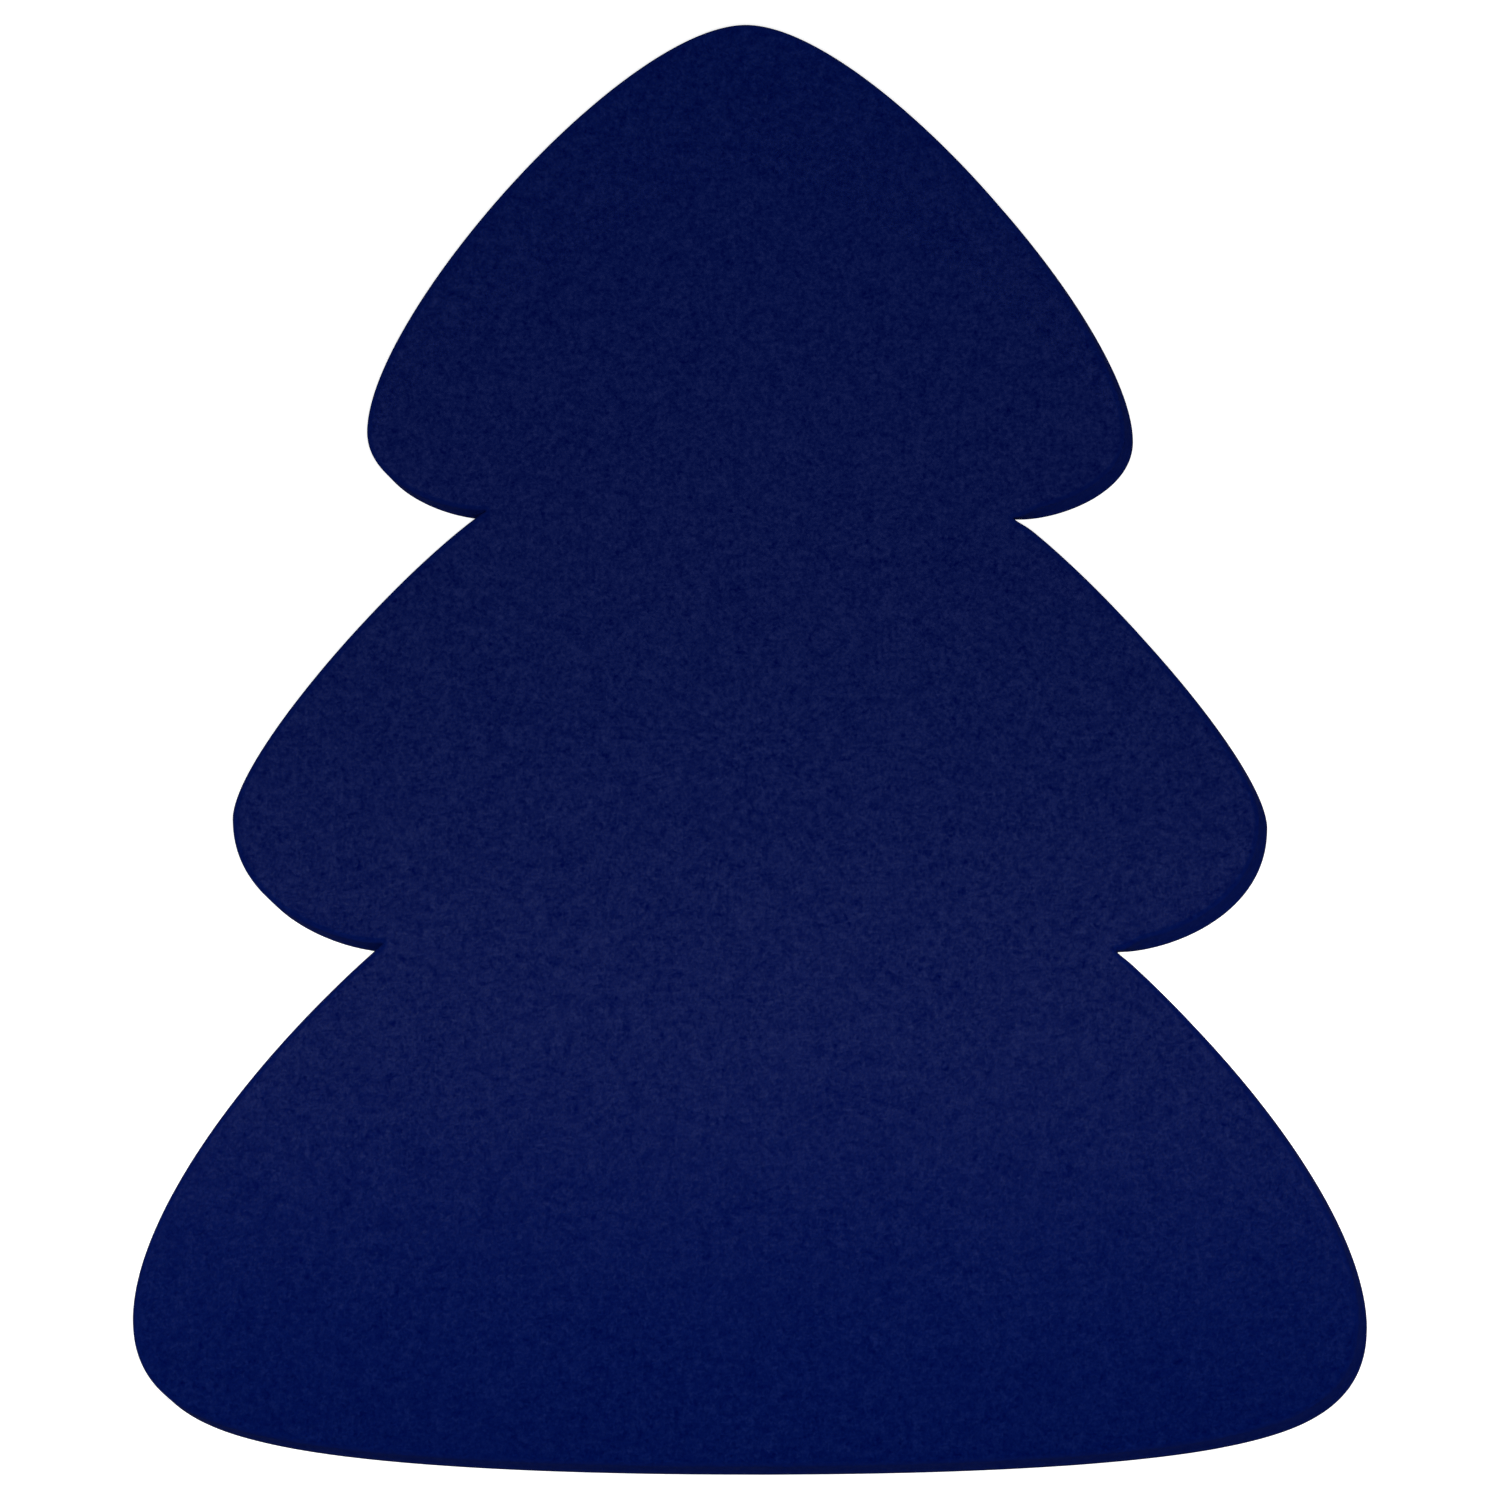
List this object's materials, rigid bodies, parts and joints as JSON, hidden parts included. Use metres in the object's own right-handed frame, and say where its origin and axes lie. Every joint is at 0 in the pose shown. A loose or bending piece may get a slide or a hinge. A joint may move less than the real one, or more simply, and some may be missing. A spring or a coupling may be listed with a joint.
{
  "type": "felt christmas tree",
  "caption": "Flat tiered christmas tree, die-cut from a sheet of thick navy felt, with round tips, pointed waists and a plain cut wall that leans a little.",
  "frame": {"origin": "middle of the outline's box, on the back face that the felt lies on", "axes": "+Y towards the top of the tree, +Z out of the front face, +X to the right as the front is seen with the top up"},
  "size_m": [0.3428, 0.4026, 0.005],
  "materials": {
    "navy_felt": "matt felted wool, navy blue, with a fine mottled nap"
  },
  "bodies": {
    "root": {"felt_tree": "navy_felt"}
  },
  "joints": []
}
